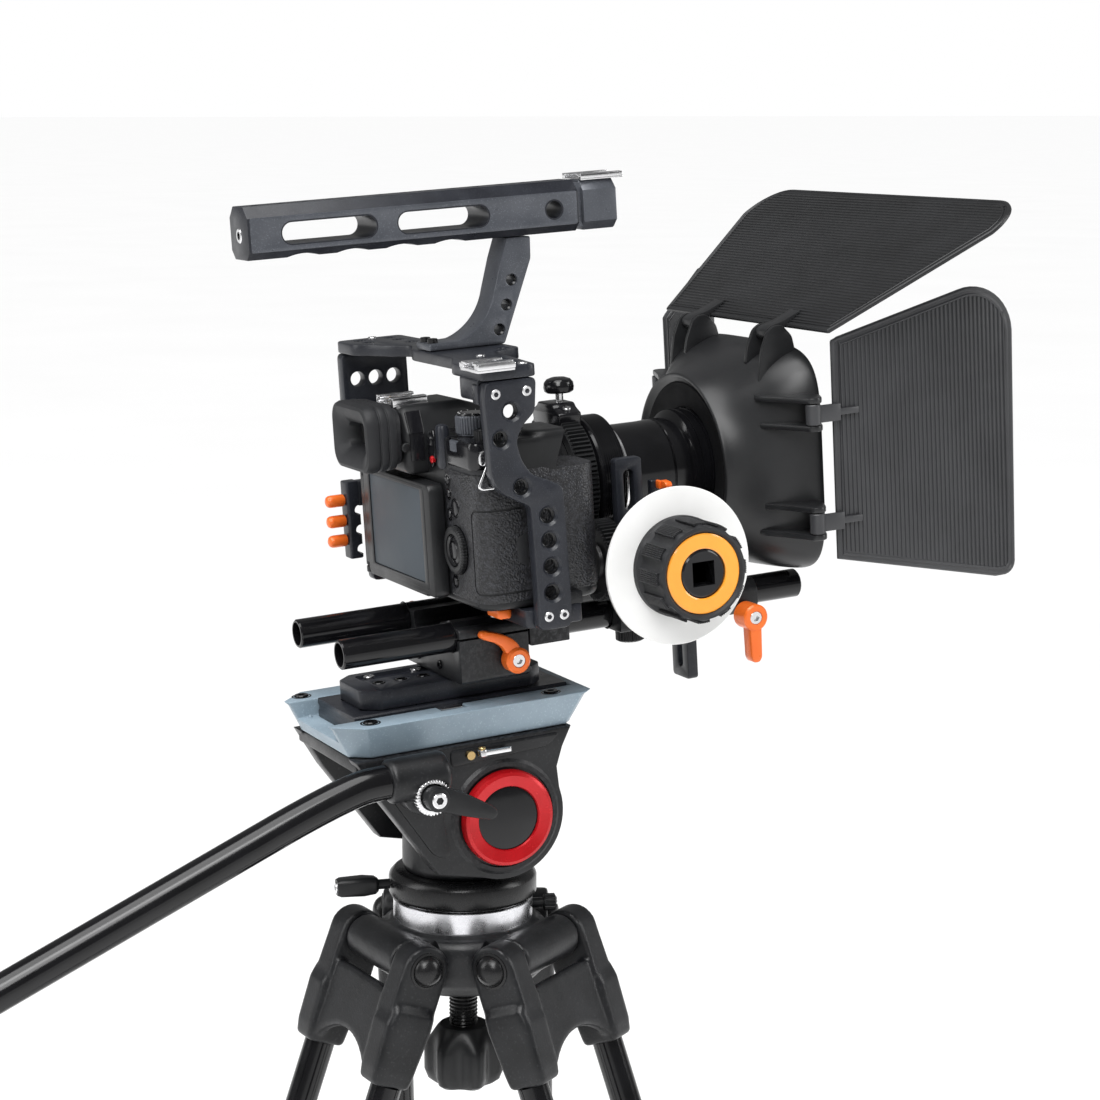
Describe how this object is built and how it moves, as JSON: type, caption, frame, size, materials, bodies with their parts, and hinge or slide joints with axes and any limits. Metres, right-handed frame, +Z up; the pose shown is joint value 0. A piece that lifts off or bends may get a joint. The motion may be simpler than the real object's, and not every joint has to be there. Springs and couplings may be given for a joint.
{
  "type": "camera rig",
  "caption": "Mirrorless cinema camera in a cage on a fluid head and twin-tube tripod, with rods, follow focus, matte box with flags and a top handle.",
  "frame": {"origin": "on the floor, in the middle of the whole object's box", "axes": "+X to the camera's right, +Y the way the lens looks, +Z up"},
  "size_m": [0.5332, 0.7148, 1.0504],
  "materials": {
    "black_aluminium": "satin slate-black anodising",
    "black_paint": "satin black paint over cast aluminium",
    "black_plastic": "matt black, fine grain",
    "bright_metal": "bright turned steel",
    "grey_paint": "satin grey-blue paint over cast aluminium",
    "orange": "satin orange anodising",
    "red": "satin red anodising",
    "rubber": "matt black"
  },
  "bodies": {
    "tripod": {"tripod_shoulder": "black_paint", "bowl_ring": "bright_metal", "ball_post": "black_paint", "pan_base": "black_paint"},
    "bowl_clamp": {"clamp_knob": "black_plastic"},
    "pan_lock": {"pan_lock_lever": "black_plastic"},
    "head": {"head_core": "black_paint"},
    "cradle": {"tilt_cradle": "black_paint", "tilt_ring": "red", "plate_tray": "grey_paint"},
    "plate_lock": {"plate_lever": "bright_metal"},
    "handle": {"handle_socket": "black_paint", "pan_handle": "black_paint"},
    "handle_clamp": {"handle_lever": "black_plastic"},
    "rig": {"slide_plate": "black_paint", "riser_block": "black_paint", "rod_clamp": "black_paint", "rod_right": "black_aluminium", "rod_left": "black_aluminium", "cage_base": "black_paint", "cage_side_right": "black_aluminium", "cage_side_left": "black_aluminium", "cage_top": "black_aluminium", "handle_arm": "black_aluminium", "top_handle": "black_aluminium", "cable_clamp": "black_paint", "camera_body": "black_plastic", "eyecup": "rubber", "lens_barrel": "black_aluminium", "focus_bracket": "black_paint"},
    "rod_clamp_lever_right": {"rod_lever_right": "orange"},
    "rod_clamp_lever_left": {"rod_lever_left": "orange"},
    "cable_screw_1": {"cable_knob_1": "orange"},
    "cable_screw_2": {"cable_knob_2": "orange"},
    "cable_screw_3": {"cable_knob_3": "orange"},
    "quick_release": {"release_lever": "orange"},
    "monitor": {"screen": "black_plastic"},
    "mode_wheel": {"mode_dial": "black_plastic"},
    "control_wheel": {"rear_wheel": "black_plastic"},
    "shutter": {"shutter_button": "bright_metal"},
    "strap_eye": {"strap_ring": "bright_metal"},
    "focus_wheel": {"handwheel": "black_plastic"},
    "focus_pinion": {"drive_gear": "black_plastic"},
    "lens_ring": {"gear_ring": "black_plastic"},
    "matte_box": {"matte_shell": "black_plastic", "matte_mount": "black_paint"},
    "matte_clamp": {"matte_lever": "orange"},
    "top_flag": {"flag_top": "black_plastic"},
    "right_flag": {"flag_right": "black_plastic"},
    "left_flag": {"flag_left": "black_plastic"},
    "leg_a": {"leg_yoke_a": "black_paint", "leg_tubes_a": "black_paint"},
    "foot_a": {"lower_leg_a": "black_paint"},
    "leg_b": {"leg_yoke_b": "black_paint", "leg_tubes_b": "black_paint"},
    "foot_b": {"lower_leg_b": "black_paint"},
    "leg_c": {"leg_yoke_c": "black_paint", "leg_tubes_c": "black_paint"},
    "foot_c": {"lower_leg_c": "black_paint"}
  },
  "joints": [
    {"name": "leg_fold_a", "type": "hinge", "parent": "tripod", "child": "leg_a", "pos_m": [0.0114, 0.02883, 0.65675], "axis": [0.9969, 0.0785, 0], "range_deg": [0, 18]},
    {"name": "leg_extend_a", "type": "slide", "parent": "leg_a", "child": "foot_a", "axis": [0.0268, -0.341, -0.9397], "range_m": [0, 0.42]},
    {"name": "leg_fold_b", "type": "hinge", "parent": "tripod", "child": "leg_b", "pos_m": [0.04421, 0.09762, 0.65675], "axis": [-0.5664, 0.8241, 0], "range_deg": [0, 18]},
    {"name": "leg_extend_b", "type": "slide", "parent": "leg_b", "child": "foot_b", "axis": [0.2819, 0.1937, -0.9397], "range_m": [0, 0.42]},
    {"name": "leg_fold_c", "type": "hinge", "parent": "tripod", "child": "leg_c", "pos_m": [-0.03177, 0.09164, 0.65675], "axis": [-0.4305, -0.9026, 0], "range_deg": [0, 18]},
    {"name": "leg_extend_c", "type": "slide", "parent": "leg_c", "child": "foot_c", "axis": [-0.3087, 0.1472, -0.9397], "range_m": [0, 0.42]},
    {"name": "bowl_clamp_turn", "type": "hinge", "parent": "tripod", "child": "bowl_clamp", "pos_m": [0.00795, 0.0727, 0.59325], "axis": [0, 0, 1], "continuous": true},
    {"name": "pan_lock_turn", "type": "hinge", "parent": "tripod", "child": "pan_lock", "pos_m": [0.00795, 0.0727, 0.68775], "axis": [-0.1736, -0.9848, 0], "range_deg": [0, 120]},
    {"name": "pan", "type": "hinge", "parent": "tripod", "child": "head", "pos_m": [0.00795, 0.0727, 0.69475], "axis": [0, 0, 1], "continuous": true},
    {"name": "tilt", "type": "hinge", "parent": "head", "child": "cradle", "pos_m": [0.00795, 0.0767, 0.73125], "axis": [1, 0, 0], "range_deg": [-60, 20]},
    {"name": "plate_lock_turn", "type": "hinge", "parent": "cradle", "child": "plate_lock", "pos_m": [0.05705, 0.0624, 0.7664], "axis": [0, 0.0645, -0.9979], "range_deg": [0, 60]},
    {"name": "plate_slide", "type": "slide", "parent": "cradle", "child": "rig", "axis": [0, 0.9979, 0.0645], "range_m": [-0.04, 0]},
    {"name": "handle_swing", "type": "hinge", "parent": "cradle", "child": "handle", "pos_m": [0.05395, 0.02672, 0.75257], "axis": [1, 0, 0], "range_deg": [-60, 20]},
    {"name": "handle_clamp_turn", "type": "hinge", "parent": "handle", "child": "handle_clamp", "pos_m": [0.06995, 0.02672, 0.75257], "axis": [1, 0, 0], "range_deg": [-45, 90]},
    {"name": "rod_clamp_right_turn", "type": "hinge", "parent": "rig", "child": "rod_clamp_lever_right", "pos_m": [0.03795, 0.08251, 0.81179], "axis": [1, 0, 0], "range_deg": [0, 90]},
    {"name": "rod_clamp_left_turn", "type": "hinge", "parent": "rig", "child": "rod_clamp_lever_left", "pos_m": [-0.02205, 0.08251, 0.81179], "axis": [1, 0, 0], "range_deg": [0, 90]},
    {"name": "cable_screw_1_turn", "type": "hinge", "parent": "rig", "child": "cable_screw_1", "pos_m": [-0.06725, 0.03505, 0.87937], "axis": [0, -0.9979, -0.0645], "continuous": true},
    {"name": "cable_screw_2_turn", "type": "hinge", "parent": "rig", "child": "cable_screw_2", "pos_m": [-0.06725, 0.03576, 0.86839], "axis": [0, -0.9979, -0.0645], "continuous": true},
    {"name": "cable_screw_3_turn", "type": "hinge", "parent": "rig", "child": "cable_screw_3", "pos_m": [-0.06725, 0.03644, 0.85792], "axis": [0, -0.9979, -0.0645], "continuous": true},
    {"name": "quick_release_turn", "type": "hinge", "parent": "rig", "child": "quick_release", "pos_m": [0.06895, 0.06421, 0.84067], "axis": [0, 0.0645, -0.9979], "range_deg": [0, 60]},
    {"name": "monitor_flip", "type": "hinge", "parent": "rig", "child": "monitor", "pos_m": [-0.04255, 0.04296, 0.87337], "axis": [0, 0.0645, -0.9979], "range_deg": [0, 110]},
    {"name": "mode_wheel_turn", "type": "hinge", "parent": "rig", "child": "mode_wheel", "pos_m": [0.05995, 0.0578, 0.93045], "axis": [0, -0.0645, 0.9979], "continuous": true},
    {"name": "control_wheel_turn", "type": "hinge", "parent": "rig", "child": "control_wheel", "pos_m": [0.06295, 0.0456, 0.87123], "axis": [0, 0.9979, 0.0645], "continuous": true},
    {"name": "shutter_press", "type": "slide", "parent": "rig", "child": "shutter", "axis": [0, -0.0645, 0.9979], "range_m": [-0.0012, 0], "stiffness_N_per_m": 1500},
    {"name": "strap_eye_swing", "type": "hinge", "parent": "rig", "child": "strap_eye", "pos_m": [0.09335, 0.05059, 0.91795], "axis": [1, 0, 0], "range_deg": [-45, 45]},
    {"name": "focus_wheel_turn", "type": "hinge", "parent": "rig", "child": "focus_wheel", "pos_m": [0.09395, 0.1484, 0.86215], "axis": [1, 0, 0], "range_deg": [-147, 147]},
    {"name": "focus_pinion_turn", "type": "hinge", "parent": "rig", "child": "focus_pinion", "pos_m": [0.05295, 0.13057, 0.85899], "axis": [0, 0.9979, 0.0645], "range_deg": [-147.5, 147.5]},
    {"name": "lens_ring_turn", "type": "hinge", "parent": "rig", "child": "lens_ring", "pos_m": [0.00795, 0.1293, 0.89398], "axis": [0, 0.9979, 0.0645], "range_deg": [-85.5, 85.5]},
    {"name": "matte_slide", "type": "slide", "parent": "rig", "child": "matte_box", "axis": [0, 0.9979, 0.0645], "range_m": [0, 0.03]},
    {"name": "matte_clamp_turn", "type": "hinge", "parent": "matte_box", "child": "matte_clamp", "pos_m": [0.05395, 0.21398, 0.8243], "axis": [1, 0, 0], "range_deg": [0, 90]},
    {"name": "top_flag_fold", "type": "hinge", "parent": "matte_box", "child": "top_flag", "pos_m": [0.00795, 0.22759, 0.97029], "axis": [1, 0, 0], "range_deg": [-14, 50]},
    {"name": "right_flag_fold", "type": "hinge", "parent": "matte_box", "child": "right_flag", "pos_m": [0.09045, 0.23289, 0.90369], "axis": [0, 0.0645, -0.9979], "range_deg": [-31, 80]},
    {"name": "left_flag_fold", "type": "hinge", "parent": "matte_box", "child": "left_flag", "pos_m": [-0.07455, 0.23289, 0.90369], "axis": [0, -0.0645, 0.9979], "range_deg": [-78, 33]}
  ],
  "couplings": [
    {"joint": "focus_pinion_turn", "follows": "focus_wheel_turn", "ratio": 1},
    {"joint": "lens_ring_turn", "follows": "focus_wheel_turn", "ratio": -0.57778}
  ]
}
